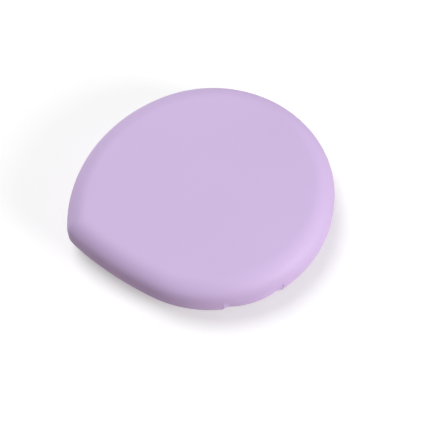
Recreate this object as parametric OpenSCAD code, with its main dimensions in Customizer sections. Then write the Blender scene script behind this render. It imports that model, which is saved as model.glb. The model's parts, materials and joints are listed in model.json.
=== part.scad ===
// Pocket wet palette: a drop-shaped hinged case with a sponge, paper and a push-button catch.
// Origin: centre of the round end's arc, on the plane that the foot pad rests on.
// +X points to the round end, -Y to the push button, +Y to the hinge and +Z up. Millimetres.
// An inset is a distance inwards from the lid shell's side, seen from above.

/* [Case outline] */
// Radius of the round end
end_r = 34.3; // [33.5:0.1:35.5]
// Radius of the long side that runs on from the hinge
far_r = 43; // [42:0.5:45]
// Radius of the flatter long side that runs on from the push button
near_r = 100; // [90:1:115]
// Radius of the tip
tip_r = 4; // [3.5:0.25:4.5]
// Distance from the round end's centre to the tip's centre
tip_reach = 37.2; // [36.6:0.1:38]

/* [Case heights] */
// Thickness of the foot pad
pad_h = 0.8; // [0.7:0.1:1]
// How far the foot pad stands below the base shell
pad_stand = 0.4; // [0.3:0.1:0.5]
// Margin between the base's rounded underside and the foot pad
pad_margin = 1.5; // [1:0.5:3]
// Height of the base shell's rim above the rest plane
base_top = 6.5; // [6.4:0.1:7]
// Gap between the base shell and the lid shell
seam = 0.1; // [0.05:0.05:0.2]
// Height of the lid shell's top above the rest plane
case_h = 15.2; // [15:0.1:17]
// Rise of the crowned lid top
crown = 0.25; // [0.1:0.05:0.4]

/* [Shells] */
// How far the base shell is set back from the lid shell's side
base_setback = 0.4; // [0.3:0.1:0.5]
// Wall of the base shell at its rim
base_wall = 1.3; // [1.2:0.1:1.5]
// Wall of the lid shell at its rim
lid_wall = 1.4; // [1.2:0.1:1.6]
// Floor of the base shell
floor_h = 1.4; // [1.3:0.1:1.5]
// Thickness of the lid shell's top
roof_h = 1.5; // [1.3:0.1:1.7]
// Height of the ledge that carries the base frame
ledge_z = 3.8; // [3.7:0.1:3.9]
// Width of the ledge that carries the base frame
ledge_w = 2.9; // [2.5:0.1:3.2]
// Straight side of the base shell
base_skirt = 1; // [0.8:0.1:1.3]
// Straight side below the lid's rounded edge
lid_skirt = 3.3; // [3:0.1:3.6]
// Width of the lid's rounded edge, seen from above
lid_round = 6; // [5.5:0.1:6.5]
// Width of the base's rounded underside, seen from above
base_round = 8.6; // [8:0.1:9]
// Height of the lid shell's inner shoulder above the seam
shoulder_rise = 4.8; // [4.5:0.1:5]
// Width of the lid shell's inner shoulder
shoulder_w = 2.2; // [2:0.1:3]

/* [Hinge] */
// Distance of the hinge axis from the case's back
hinge_inset = 2.3; // [2.2:0.1:2.5]
// Radius of the hinge knuckles
knuckle_r = 1.75; // [1.65:0.05:1.8]
// Radius of the hinge pin
pin_r = 0.75; // [0.6:0.05:0.85]
// Radial clearance of the lid knuckle on the pin
pin_run = 0.05; // [0.03:0.01:0.08]
// Half the length of the hinge pin
pin_half = 12.9; // [12.5:0.1:13]
// Half the length of the lid's knuckle
lid_knuckle_half = 6; // [5:0.5:8]
// Thickness of a hinge washer
washer_h = 0.3; // [0.2:0.05:0.4]
// Clearance around the hinge knuckles
bay_gap = 0.4; // [0.35:0.05:0.45]
// Height of the lid's hinge bay above the axis
bay_rise = 3.5; // [3.4:0.1:3.7]

/* [Frames and seal] */
// Clearance between a frame and the shell it sits in
fit = 0.1; // [0.08:0.01:0.12]
// Thickness of the frames' inner walls
frame_wall = 0.75; // [0.65:0.05:0.85]
// Width of the upstanding rim
rim_w = 1.7; // [1.6:0.1:1.8]
// Height of the rim above the base frame's flat land
rim_h = 0.7; // [0.6:0.1:0.8]
// Width of the rim seal
seal_w = 0.8; // [0.6:0.1:0.9]
// Height of the rim seal
seal_h = 1.1; // [1:0.1:1.2]
// How far the rim seal stands out of its groove
seal_proud = 0.3; // [0.2:0.1:0.4]
// Gap between the seal and the lid frame's land
seal_gap = 0.15; // [0.1:0.05:0.2]
// Thickness of the lid frame's land
land_h = 1.1; // [0.9:0.1:1.2]
// Thickness of the lid frame's outer and inner skirts
skirt_w = 1; // [0.8:0.1:1.1]
// Radius of a lid bumper
bumper_r = 0.9; // [0.7:0.1:1]
// Radius of a lid bumper's stem
bumper_stem_r = 0.45; // [0.4:0.05:0.5]

/* [Sponge tray] */
// Side clearance of the tray and the paper frame
tray_gap = 0.15; // [0.1:0.05:0.2]
// Width of the tray's flange
flange_w = 1.3; // [1.2:0.1:1.5]
// Thickness of the tray's flange
flange_h = 0.6; // [0.5:0.1:0.7]
// Wall and floor of the tray
tray_wall = 0.8; // [0.7:0.1:0.9]
// Gap under the tray
tray_lift = 0.2; // [0.15:0.05:0.3]
// Thickness of the base frame's ledge below the tray's flange
tray_ledge_h = 0.9; // [0.8:0.1:1]
// Margin between the tray's flange and the paper
paper_margin = 0.2; // [0.1:0.05:0.4]
// Thickness of the palette paper
paper_h = 0.15; // [0.1:0.05:0.2]
// Width of the paper frame
paper_frame_w = 2.75; // [2.5:0.05:3.2]
// Thickness of the paper frame
paper_frame_h = 0.85; // [0.7:0.05:0.95]
// Radius of the paper frame's finger notches
finger_r = 3.5; // [3:0.5:4]

/* [Push button] */
// Sideways position of the button's middle
button_x = 1.5; // [0:0.5:2]
// Width of the notch that the button sits in
notch_w = 17.3; // [16.5:0.1:17.5]
// Gap on each side of the button
button_gap = 0.25; // [0.2:0.05:0.35]
// Radius of the button's face, seen from above
button_face_r = 22; // [21.5:0.5:24]
// Sideways offset of the middle of the button's face
face_offset = -0.6; // [-1:0.1:0]
// How far the button's face leans in at its lower edge
button_lean = 0.45; // [0.35:0.05:0.5]
// Depth of the button's head
button_depth = 2.75; // [2.65:0.05:2.8]
// Travel of the button
button_travel = 0.7; // [0.6:0.05:0.75]
// Share of the base's underside curve that the recess below the button follows
recess_fade = 0.75; // [0.7:0.05:0.8]
// Height of the button's top above the lid's lower edge
button_rise = 1.8; // [1.5:0.1:2]
// Gap between the button's top and the lid
button_top_gap = 0.2; // [0.15:0.05:0.3]
// Width of the lid's hook
hook_w = 6; // [5:0.5:7]
// Thickness of the lid's hook
hook_t = 0.7; // [0.6:0.05:0.75]
// Half the width of the catch bar
bar_half = 9; // [8.5:0.1:9.2]
// Thickness of the catch bar
bar_t = 0.75; // [0.65:0.05:0.8]
// Height of the button's arms and catch bar
arm_h = 1; // [0.8:0.05:1.05]
// Width of each of the button's arms
arm_w = 1.6; // [1.2:0.1:1.8]
// Distance of each arm from the button's middle
arm_x = 5.2; // [5:0.1:5.6]
// Thickness of the leaf spring
leaf_t = 0.2; // [0.15:0.05:0.25]
// Floor below the catch bar
latch_floor = 0.5; // [0.45:0.05:0.55]

/* [Screws] */
// Radius of the screw's shank
screw_r = 0.6; // [0.5:0.05:0.7]
// Radius of the screw's head
screw_head_r = 1.25; // [1.1:0.05:1.3]
// Height of the screw's head
screw_head_h = 0.7; // [0.6:0.05:0.8]
// Depth of the screw in the base shell
screw_bite = 1.2; // [1:0.1:1.3]

/* [Mixing tray] */
// Thickness of the mixing tray
mix_h = 1.4; // [1.3:0.1:1.6]
// Depth of the mixing wells
well_h = 0.9; // [0.7:0.05:1]
// Radius of the large mixing well
well_r = 11; // [10:0.5:12]
// Radius of the small mixing wells
small_well_r = 4.5; // [4:0.25:5]
// Margin between the small wells and the tray's edge
well_margin = 2; // [1.5:0.25:2.5]

/* [Hidden] */
$fn = 48;
big = 100;
lap = 0.5;
slack = 0.05;
lilac = [0.83, 0.73, 0.90];
white = [0.95, 0.95, 0.94];
steel = [0.75, 0.76, 0.78];
silicone = [0.88, 0.86, 0.90];
yellow = [0.98, 0.93, 0.62];
cream = [0.97, 0.96, 0.92];

// Each side's arc touches the round end and the tip from inside, which fixes its centre.
tip_min_r = 1.5;
function side_x(r) =
    (pow(r - tip_r, 2) - pow(r - end_r, 2) - pow(tip_reach, 2)) / (2 * tip_reach);
function side_y(r) = sqrt(pow(r - end_r, 2) - pow(side_x(r), 2));
function turn_of(v) = (atan2(v[1], v[0]) + 360) % 360;
far_c = [side_x(far_r), -side_y(far_r)];
near_c = [side_x(near_r), side_y(near_r)];
far_turn = turn_of(-far_c);
near_turn = turn_of(-near_c);

// Insets, from the outside inwards
base_in = base_setback + base_wall;
frame_out = base_in + fit;
lid_frame_out = lid_wall + fit;
pad_out = base_setback + base_round + pad_margin;
hinge_y = end_r - hinge_inset;
bay_y = hinge_y - knuckle_r - bay_gap;
rim_out = end_r - bay_y + frame_wall;
rim_in = rim_out + rim_w;
seal_out = rim_out + (rim_w - seal_w) / 2;
seal_in = seal_out + seal_w;
tray_out = rim_in + tray_gap;
pan_out = tray_out + flange_w;
pan_in = pan_out + tray_wall;
sponge_out = pan_in + fit;
window = tray_out + paper_frame_w;

// Levels
hinge_z = base_top + seam / 2;
floor_z = pad_stand + floor_h;
tray_ledge_z = ledge_z + tray_ledge_h;
paper_z = tray_ledge_z + flange_h;
paper_top = paper_z + paper_h;
pan_z = floor_z + tray_lift;
pan_floor_z = pan_z + tray_wall;
rim_z = base_top + rim_h;
seal_top = rim_z + seal_proud;
lid_z = base_top + seam;
land_z = seal_top + seal_gap;
land_top = land_z + land_h;
shoulder_z = lid_z + shoulder_rise;
roof_z = case_h - roof_h;
mix_z = roof_z - mix_h;
bay_floor_z = hinge_z - knuckle_r - bay_gap;
bay_roof_z = hinge_z + bay_rise;
button_top = lid_z + button_rise;
notch_top = button_top + button_top_gap;
notch_lining = notch_top + 0.9;

// The hinge bay is long enough for the lid's wall to swing down outside the base's wall.
wall_cross = sqrt(pow(far_r - base_setback, 2) - pow(hinge_y - far_c[1], 2)) - far_c[0];
bay_half = max(pin_half + bay_gap, wall_cross + fit);
knuckle_start = lid_knuckle_half + fit + washer_h;

// Distances of the button's and the catch's faces from the hinge side's centre line
notch_half = notch_w / 2;
button_back = end_r - button_depth;
button_stop = button_back - button_travel - fit;
hook_front = button_stop - fit;
hook_back = hook_front - hook_t;
bar_front = hook_back - 2 * fit;
bar_back = bar_front - bar_t;
leaf_back = bar_back - leaf_t;
chamber_back = leaf_back - button_travel - 2 * fit;
rim_front = end_r - rim_out;
cover_half = bar_half + 0.9;
arms_half = arm_x + arm_w / 2 + 2 * fit;
latch_floor_z = ledge_z + latch_floor;
arm_z = latch_floor_z + fit;
chamber_top = arm_z + arm_h + fit;

// The tip's circle touches both side arcs, so its centre lies where two circles cross.
function tip_rad(inset) = max(tip_r - inset, tip_min_r);
function tip_c(inset) =
    let (
        from_far = far_r - inset - tip_rad(inset),
        from_near = near_r - inset - tip_rad(inset),
        apart = norm(near_c - far_c),
        way = (near_c - far_c) / apart,
        along = (pow(from_far, 2) - pow(from_near, 2) + pow(apart, 2)) / (2 * apart))
    far_c + along * way + sqrt(pow(from_far, 2) - pow(along, 2)) * [-way[1], way[0]];

// Outline at an inset: round end, far side, tip and near side
end_steps = 42;
far_steps = 14;
tip_steps = 8;
near_steps = 8;
function mix(from, to, share) = from + (to - from) * share;
function on_arc(middle, r, turn) = middle + r * [cos(turn), sin(turn)];
function arc(middle, r, from, to, steps) =
    [for (i = [0:steps - 1]) on_arc(middle, r, mix(from, to, i / steps))];
function outline(inset) =
    let (tip = tip_c(inset), tip_from = turn_of(tip - far_c), tip_to = turn_of(tip - near_c))
    concat(
        arc([0, 0], end_r - inset, near_turn - 360, far_turn, end_steps),
        arc(far_c, far_r - inset, far_turn, tip_from, far_steps),
        arc(tip, tip_rad(inset), tip_from, tip_to, tip_steps),
        arc(near_c, near_r - inset, tip_to, near_turn, near_steps));

// Profile rows are [height, inset]. The rounded edges are quarter ellipses.
base_curve_h = base_top - base_skirt - pad_stand;
base_rows = concat(
    [for (turn = [0:10:90])
        [pad_stand + base_curve_h * (1 - cos(turn)), base_setback + base_round * (1 - sin(turn))]],
    [[base_top, base_setback]]);
lid_curve_h = case_h - crown - lid_z - lid_skirt;
crown_steps = 4;
crown_w = end_r - lid_round - 5;
lid_rows = concat(
    [[lid_z, 0]],
    [for (turn = [0:9:90])
        [lid_z + lid_skirt + lid_curve_h * sin(turn), lid_round * (1 - cos(turn))]],
    [for (i = [1:crown_steps])
        [case_h - crown * pow(1 - i / crown_steps, 2), lid_round + crown_w * i / crown_steps]]);

// The button's head leans in below the seam and has a small top radius. The recess below it
// follows the base's side, and runs out before the underside.
button_round = 0.35;
button_rows = concat(
    [[arm_z, button_lean], [base_top, 0]],
    [for (turn = [0:30:90])
        [button_top - button_round * (1 - sin(turn)), button_round * (1 - cos(turn))]]);
recess_side = 2.2 * base_setback;
recess_rows = concat(
    [[-2 * lap, base_setback + base_round * recess_fade]],
    [for (row = base_rows)
        [row[0], min(row[1], recess_side) + recess_fade * max(row[1] - recess_side, 0)]]);

// Solid with one outline ring for each profile row
module loft(rows) {
    n = len(outline(0));
    last = len(rows) - 1;
    points = [for (row = rows) for (p = outline(row[1])) [p[0], p[1], row[0]]];
    bottom = [[for (i = [0:n - 1]) i]];
    top = [[for (i = [n - 1:-1:0]) last * n + i]];
    sides = [for (j = [0:last - 1]) for (i = [0:n - 1])
        let (a = j * n + i, b = j * n + (i + 1) % n)
        each [[a, a + n, b], [b, a + n, b + n]]];
    polyhedron(points = points, faces = concat(bottom, sides, top));
}

module drop(inset, low, high)
    translate([0, 0, low]) linear_extrude(high - low) polygon(outline(inset));

module ring(outer, inner, low, high)
    difference() {
        drop(outer, low, high);
        drop(inner, low - lap, high + lap);
    }

module block(x0, x1, y0, y1, z0, z1)
    translate([x0, y0, z0]) cube([x1 - x0, y1 - y0, z1 - z0]);

// Block centred on the button in x, between two distances towards the front
module front_block(half, near, far, low, high)
    block(button_x - half, button_x + half, -far, -near, low, high);

// Profile rows turned about the middle of the button's face
module face_turn(rows) {
    translate([button_x + face_offset, button_face_r - end_r, 0])
        rotate_extrude($fn = 180) polygon(concat(
            [[0, rows[0][0]]],
            [for (row = rows) [button_face_r - row[1], row[0]]],
            [[0, rows[len(rows) - 1][0]]]));
}

module post(low, high, r) translate([0, 0, low]) cylinder(h = high - low, r = r);

// Rod along the hinge axis
module rod(x0, x1, r)
    translate([x0, hinge_y, hinge_z]) rotate([0, 90, 0]) cylinder(h = x1 - x0, r = r);

module both_ends() {
    children();
    mirror([1, 0, 0]) children();
}

module hinge_bay(low, high) block(-bay_half, bay_half, bay_y, big, low, high);

// Screws and bumpers stand on the middle line of the base frame's land: two on the round end,
// and one on each side at a share of the way from the tip.
land_mid = (frame_out + rim_out) / 2;
screw_seat_z = base_top - screw_head_h - fit;
module on_land(end_at, far_share, near_share) {
    tip = tip_c(land_mid);
    far_at = mix(turn_of(tip - far_c), far_turn, far_share);
    near_at = mix(turn_of(tip - near_c), near_turn, near_share);
    for (turn = [-end_at, end_at]) translate(on_arc([0, 0], end_r - land_mid, turn)) children();
    translate(on_arc(far_c, far_r - land_mid, far_at)) children();
    translate(on_arc(near_c, near_r - land_mid, near_at)) children();
}
module at_screws() on_land(38, 0.4, 0.55) children();
module at_bumpers() on_land(10, 0.12, 0.2) children();

module base_shell() {
    color(lilac) difference() {
        loft(base_rows);
        drop(base_in, ledge_z, big);
        drop(base_in + ledge_w, floor_z, big);
        drop(pad_out, -lap, pad_h);
        hinge_bay(bay_floor_z, big);
        front_block(notch_half, button_stop, big, latch_floor_z, big);
        difference() {
            front_block(notch_half, end_r - button_face_r, big, -lap, latch_floor_z + lap);
            face_turn(recess_rows);
        }
        at_screws() post(ledge_z - screw_bite - fit, big, screw_r + slack);
    }
}

module foot_pad() {
    color(silicone) drop(pad_out + fit, 0, pad_h);
}

module base_frame() {
    bar_gap = bar_half + fit;
    color(white) difference() {
        union() {
            difference() {
                union() {
                    drop(frame_out, ledge_z, base_top);
                    drop(rim_out, ledge_z, rim_z);
                }
                hinge_bay(bay_floor_z, big);
            }
            both_ends() rod(knuckle_start, pin_half, knuckle_r);
            both_ends() block(knuckle_start, pin_half, bay_y - frame_wall, hinge_y + lap,
                              bay_floor_z, hinge_z);
        }
        drop(rim_in, tray_ledge_z, big);
        drop(pan_out - fit, 0, big);
        ring(seal_out, seal_in, seal_top - seal_h, big);
        rod(-pin_half - lap, pin_half + lap, pin_r);
        // Recess for the button's head, passage for its arms and chamber for its catch bar
        front_block(notch_half + 3 * fit, button_stop, big, 0, big);
        front_block(arms_half, bar_front + fit, big, latch_floor_z, big);
        front_block(bar_gap, chamber_back, bar_front + fit, latch_floor_z, chamber_top);
        front_block(bar_gap, rim_front + fit, bar_front + fit, latch_floor_z, big);
        intersection() {
            drop(frame_out + frame_wall, chamber_top, big);
            front_block(cover_half, rim_front + fit, button_stop + lap, 0, big);
        }
        at_screws() post(0, big, screw_r + fit);
        at_screws() post(screw_seat_z, big, screw_head_r + fit);
    }
}

module frame_screws() {
    color(steel) at_screws() {
        post(ledge_z - screw_bite, screw_seat_z, screw_r);
        post(screw_seat_z, screw_seat_z + screw_head_h, screw_head_r);
    }
}

module sponge_tray() {
    color(white) difference() {
        union() {
            drop(tray_out, tray_ledge_z, paper_z);
            drop(pan_out, pan_z, paper_z);
        }
        drop(pan_in, pan_floor_z, big);
    }
}

module sponge() {
    color(yellow) drop(sponge_out, pan_floor_z, paper_z);
}

module palette_paper() {
    color(cream) drop(tray_out + paper_margin, paper_z, paper_top);
}

// Clamping ring with a finger notch on each long side
module paper_frame() {
    notch_floor = 0.3;
    color(white) difference() {
        ring(tray_out, window, paper_top, paper_top + paper_frame_h);
        for (turn = [-90, 90])
            translate(on_arc([0, 0], end_r - window, turn))
                post(paper_top + notch_floor, big, finger_r);
    }
}

module rim_seal() {
    color(silicone) ring(seal_out, seal_in, seal_top - seal_h, seal_top);
}

module hinge_pin() {
    color(steel) rod(-pin_half, pin_half, pin_r);
}

// A thin ring on each side of the lid's knuckle
module hinge_washers() {
    color(silicone) both_ends() difference() {
        rod(knuckle_start - washer_h, knuckle_start, knuckle_r - fit);
        rod(knuckle_start - washer_h - lap, knuckle_start + lap, pin_r + slack / 2);
    }
}

// Cover over the catch bar and arms, with a slot for the lid's hook
module latch_cover() {
    color(white) difference() {
        intersection() {
            drop(frame_out + frame_wall + fit, chamber_top, base_top);
            front_block(cover_half - fit, rim_front + 2 * fit, button_stop - fit, 0, big);
        }
        front_block(hook_w / 2 + 2 * fit, hook_back - fit, big, 0, big);
    }
}

module lid_shell() {
    color(lilac) difference() {
        loft(lid_rows);
        drop(lid_wall, 0, shoulder_z);
        drop(lid_wall + shoulder_w, 0, roof_z);
        hinge_bay(0, bay_roof_z);
        front_block(notch_half, button_stop, big, 0, notch_top);
    }
}

// Sealing land with an outer and an inner skirt, lined around the hinge bay and the notch
module lid_frame() {
    lining = 1;
    nib = 0.35;
    nib_half = 1.5;
    nib_h = 0.4;
    color(white) difference() {
        union() {
            difference() {
                union() {
                    ring(lid_frame_out, rim_in, land_z, land_top);
                    ring(lid_frame_out, lid_frame_out + skirt_w, land_z, shoulder_z);
                    ring(rim_in - skirt_w, rim_in, land_z, roof_z);
                    intersection() {
                        ring(lid_frame_out, rim_in, land_z, bay_roof_z + lining);
                        block(-bay_half - lining, bay_half + lining, bay_y - frame_wall, big, 0, big);
                    }
                    intersection() {
                        ring(lid_frame_out, rim_in, land_z, notch_lining);
                        front_block(notch_half + lining, button_stop - frame_wall, big, 0, big);
                    }
                }
                hinge_bay(0, bay_roof_z);
                front_block(notch_half + 3 * fit, button_stop, big, 0, notch_top);
                front_block(hook_w / 2 + slack, hook_back - slack, big, 0, notch_lining + slack);
            }
            rod(-lid_knuckle_half, lid_knuckle_half, knuckle_r);
            block(-lid_knuckle_half, lid_knuckle_half, hinge_y - knuckle_r, hinge_y + 2 * fit,
                  hinge_z, bay_roof_z + lap);
            for (turn = [-70, 0, 70])
                rotate([0, 0, turn]) block(end_r - rim_in - nib, end_r - rim_in + lap,
                                           -nib_half, nib_half, mix_z - nib_h, mix_z);
        }
        rod(-lid_knuckle_half - lap, lid_knuckle_half + lap, pin_r + pin_run);
        at_bumpers() post(0, big, bumper_stem_r + slack / 2);
    }
}

// The hook hangs from a head that rests on the lid frame's land.
module latch_hook() {
    head = 0.8;
    color(white) {
        front_block(hook_w / 2, hook_back, hook_front, arm_z + fit, notch_lining - slack);
        front_block(hook_w / 2 + head, hook_back - frame_wall, hook_back, land_top, land_top + head);
    }
}

module lid_bumpers() {
    color(silicone) at_bumpers() {
        post(lid_z, land_z, bumper_r);
        post(land_z, land_top - fit, bumper_stem_r);
    }
}

// Shallow mixing wells are cut in the face that looks down when the lid is closed.
module mixing_tray() {
    well_ring = end_r - rim_in - well_margin - small_well_r;
    tip_well_r = small_well_r + 1;
    color(white) difference() {
        drop(rim_in + fit, mix_z, roof_z);
        post(0, mix_z + well_h, well_r);
        for (turn = [-105:35:105])
            rotate([0, 0, turn]) translate([well_ring, 0, 0]) post(0, mix_z + well_h, small_well_r);
        translate(tip_c(rim_in + well_margin + tip_well_r)) post(0, mix_z + well_h, tip_well_r);
    }
}

// Head with a curved face, two arms that pass the hook, and the catch bar behind it
module release_button() {
    color(lilac) union() {
        intersection() {
            face_turn(button_rows);
            front_block(notch_half - button_gap, button_back, big, 0, big);
        }
        for (side = [-1, 1])
            translate([side * arm_x, 0, 0])
                front_block(arm_w / 2, bar_back, button_back + lap, arm_z, arm_z + arm_h);
        front_block(bar_half, bar_back, bar_front, arm_z, arm_z + arm_h);
    }
}

module button_spring() {
    color(steel) front_block(bar_half - 1, leaf_back, bar_back, arm_z, arm_z + arm_h);
}

base_shell();
base_frame();
frame_screws();
foot_pad();
sponge_tray();
sponge();
palette_paper();
paper_frame();
rim_seal();
hinge_pin();
hinge_washers();
latch_cover();
lid_shell();
lid_frame();
mixing_tray();
latch_hook();
lid_bumpers();
release_button();
button_spring();
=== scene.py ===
import json
import math

import bmesh
import bpy
import numpy as np
from mathutils import Matrix, Vector


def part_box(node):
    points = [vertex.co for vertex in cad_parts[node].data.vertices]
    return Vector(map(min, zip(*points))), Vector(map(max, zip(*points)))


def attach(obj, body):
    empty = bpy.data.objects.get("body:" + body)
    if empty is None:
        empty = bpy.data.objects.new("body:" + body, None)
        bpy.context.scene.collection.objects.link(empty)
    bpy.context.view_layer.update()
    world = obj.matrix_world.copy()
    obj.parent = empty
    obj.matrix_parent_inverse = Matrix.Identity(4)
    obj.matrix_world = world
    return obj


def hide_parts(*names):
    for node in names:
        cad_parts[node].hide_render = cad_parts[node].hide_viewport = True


# Lengths are in metres and angles in radians, unless a name says otherwise.
mm = 0.001
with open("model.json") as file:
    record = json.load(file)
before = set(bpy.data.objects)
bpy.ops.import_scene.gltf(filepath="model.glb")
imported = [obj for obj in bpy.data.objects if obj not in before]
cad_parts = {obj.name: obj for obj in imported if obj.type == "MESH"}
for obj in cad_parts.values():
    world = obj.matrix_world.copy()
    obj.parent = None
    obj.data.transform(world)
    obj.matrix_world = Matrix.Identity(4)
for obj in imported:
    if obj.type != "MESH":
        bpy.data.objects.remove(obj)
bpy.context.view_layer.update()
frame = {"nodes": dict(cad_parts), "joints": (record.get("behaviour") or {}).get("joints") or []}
nodes = frame["nodes"]
print("frame loaded with", len(nodes), "nodes")


def inScene(name, data):
    made = bpy.data.objects.new(name, data)
    bpy.context.scene.collection.objects.link(made)
    return made


cameraView = {
    "azimuth": -14.5,  # degrees from straight on, towards the tip's side
    "elevation": 60.5,
    "roll": 3.2,
    "distance": 350 * mm,
    "aim": (-5 * mm, 0.0, 8 * mm),
    "slide": (5.82 * mm, -4.14 * mm),  # from the aim to the picture's middle, right and up
    "pixelsPerMetre": 3582.0,
    "picturePixels": 430,
    "sensor": 36.0,
    "clip": (0.01, 20),
}


def makeCamera():
    v = cameraView
    a, e, roll = (math.radians(v[k]) for k in ("azimuth", "elevation", "roll"))
    back = Vector((math.sin(a) * math.cos(e), -math.cos(a) * math.cos(e), math.sin(e)))
    right = Vector((math.cos(a), math.sin(a), 0))
    up = back.cross(right)
    rolledRight = right * math.cos(roll) - up * math.sin(roll)
    rolledUp = right * math.sin(roll) + up * math.cos(roll)
    middle = Vector(v["aim"]) + rolledRight * v["slide"][0] + rolledUp * v["slide"][1]
    data = bpy.data.cameras.new("camera")
    data.sensor_width = v["sensor"]
    data.lens = v["pixelsPerMetre"] * v["distance"] * v["sensor"] / v["picturePixels"]
    data.clip_start, data.clip_end = v["clip"]
    camera = inScene("camera", data)
    turn = Matrix((rolledRight, rolledUp, back)).transposed().to_4x4()
    camera.matrix_world = Matrix.Translation(middle + back * v["distance"]) @ turn
    bpy.context.scene.camera = camera


makeCamera()
print("camera placed")


def corners(node):
    low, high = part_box(node)
    return np.array(low), np.array(high)


def heights(node):
    low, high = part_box(node)
    return low[2], high[2]


def quarterRound(steps):
    # Two shares of a quarter turn: the first grows from 0 to 1, slow at first, and the second
    # falls from 1 to 0, fast at first.
    roll = np.linspace(0, math.pi / 2, steps)
    return np.stack([1 - np.cos(roll), 1 - np.sin(roll)])


lidLow, lidHigh = corners("lid_shell")
baseLow, baseHigh = corners("base_shell")
caseShape = {
    "farRadius": 43 * mm,  # the long side beyond the hinge
    "nearRadius": 100 * mm,  # the flatter long side beyond the push button
    "tipRadius": 4 * mm,
    "tipSmallest": 1.5 * mm,
    "coreInset": 29.3 * mm,  # from here on, rings shrink straight to the middle
    "midInset": 20 * mm,  # of the ring halfway across a flat face
    "hub": 1 * mm,  # radius of the smallest ring of a plain flat face
    "straightTo": 5 * mm,  # inset up to which straight columns run along Y
    "straightFade": 6 * mm,
}
farRadius, nearRadius = caseShape["farRadius"], caseShape["nearRadius"]
tipRadius = caseShape["tipRadius"]
endRadius = lidHigh[0]
core = caseShape["coreInset"]
hubInset = endRadius - caseShape["hub"]
tipReach = -lidLow[0] - tipRadius


def sideCentre(radius):
    # A side's circle touches the round end's circle and the tip's circle from inside.
    x = (radius - tipRadius) ** 2 - (radius - endRadius) ** 2 - tipReach ** 2
    x /= 2 * tipReach
    return x, math.sqrt((radius - endRadius) ** 2 - x * x)


farX, farY = sideCentre(farRadius)
nearX, nearY = sideCentre(nearRadius)
farY = -farY
farTurn = math.atan2(-farY, -farX)
nearTurn = math.atan2(-nearY, -nearX)


def tipCircle(inset):
    # Where two circles about the side centres cross, at the side radii less inset and tip radius.
    radius = np.maximum(tipRadius - inset, caseShape["tipSmallest"])
    fromFar = farRadius - inset - radius
    fromNear = nearRadius - inset - radius
    apart = math.hypot(nearX - farX, nearY - farY)
    wayX, wayY = (nearX - farX) / apart, (nearY - farY) / apart
    along = (fromFar ** 2 - fromNear ** 2 + apart ** 2) / (2 * apart)
    across = np.sqrt(fromFar ** 2 - along ** 2)
    return radius, farX + along * wayX - across * wayY, farY + along * wayY + across * wayX


def smooth(x):
    x = np.clip(x, 0, 1)
    return x * x * (3 - 2 * x)


_, (tipX,), (tipY,) = tipCircle(np.zeros(1))
tipFar = math.atan2(tipY - farY, tipX - farX)
tipNear = math.atan2(tipY - nearY, tipX - nearX) + 2 * math.pi
arcLengths = np.array([
    endRadius * (farTurn - nearTurn),
    farRadius * (tipFar - farTurn),
    tipRadius * (tipNear - tipFar),
    nearRadius * (nearTurn + 2 * math.pi - tipNear)])
arcEnds = np.cumsum(arcLengths)
outlineLength = arcEnds[-1]


def placeOf(x, side):
    # Distance along the outline of the point with this x, on the near (-1) or the far (1) side.
    onEnd = side * np.arccos(np.clip(x / endRadius, -1, 1))
    onFar = np.arccos(np.clip((x - farX) / farRadius, -1, 1))
    return np.where((side > 0) & (onEnd > farTurn),
                    arcLengths[0] + farRadius * (onFar - farTurn),
                    endRadius * (onEnd - nearTurn))


class Columns:
    # Places round the outline, by distance along it. Where straight is 1, a column runs along Y.
    def __init__(self, places):
        places = np.asarray(places, float)
        self.arc = np.minimum(np.searchsorted(arcEnds, places, side="right"), 3)
        self.part = (places - (arcEnds - arcLengths)[self.arc]) / arcLengths[self.arc]
        self.straight = self.x0 = self.y0 = np.zeros(len(places))
        x, y = self.ring(np.zeros((1, 1)))
        self.x0, self.y0 = x[0], y[0]

    def ring(self, inset):
        # A turn about each arc's centre, at the arc's radius less the inset. Past the core's inset
        # the rings only shrink to the middle.
        v = caseShape
        inset = np.asarray(inset, float)
        shrink = 1 - np.clip((inset - core) / (endRadius - core), 0, 1)
        inset = np.minimum(inset, core) * np.ones(len(self.arc))
        radius, tipX, tipY = tipCircle(inset)
        fromFar = np.arctan2(tipY - farY, tipX - farX)
        fromNear = np.arctan2(tipY - nearY, tipX - nearX) + 2 * math.pi
        start = np.choose(self.arc, [nearTurn, farTurn, fromFar, fromNear])
        stop = np.choose(self.arc, [farTurn, fromFar, fromNear, nearTurn + 2 * math.pi])
        r = np.choose(self.arc, [endRadius - inset, farRadius - inset, radius, nearRadius - inset])
        cx = np.choose(self.arc, [0, farX, tipX, nearX])
        cy = np.choose(self.arc, [0, farY, tipY, nearY])
        turn = start + (stop - start) * self.part
        side = np.where(self.y0 < 0, -1, 1)
        along = side * np.arccos(np.clip((self.x0 - cx) / r, -1, 1))
        weight = self.straight * (1 - smooth((inset - v["straightTo"]) / v["straightFade"]))
        turn = np.where(weight > 0, turn + weight * (along - turn), turn)
        return (cx + r * np.cos(turn)) * shrink, (cy + r * np.sin(turn)) * shrink

    def surface(self, inset, z):
        # Rows of points, with one inset and height for a row, or one for each column in it.
        inset, z = (np.asarray(a, float).reshape(len(a), -1) for a in (inset, z))
        return np.stack(np.broadcast_arrays(*self.ring(inset), z), -1)

    def bands(self, *pairs):
        return np.vstack([self.surface(inset, z) for inset, z in pairs])


def evenColumns(spacing):
    count = int(outlineLength / spacing)
    return Columns(np.arange(count) * outlineLength / count)


def triangles(part):
    # The three corners of each triangle, with each larger face cut into a fan.
    vertices, faces = part
    fans = np.array([(f[0], f[i], f[i + 1]) for f in faces for i in range(1, len(f) - 1)])
    return [vertices[fans[:, i]] for i in range(3)]


def outward(vertices, faces):
    # The same faces, turned round if their signed volume is negative.
    a, b, c = triangles((vertices, faces))
    if (a * np.cross(b, c)).sum() < 0:
        faces = [f[::-1] for f in faces]
    return vertices, faces


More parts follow.
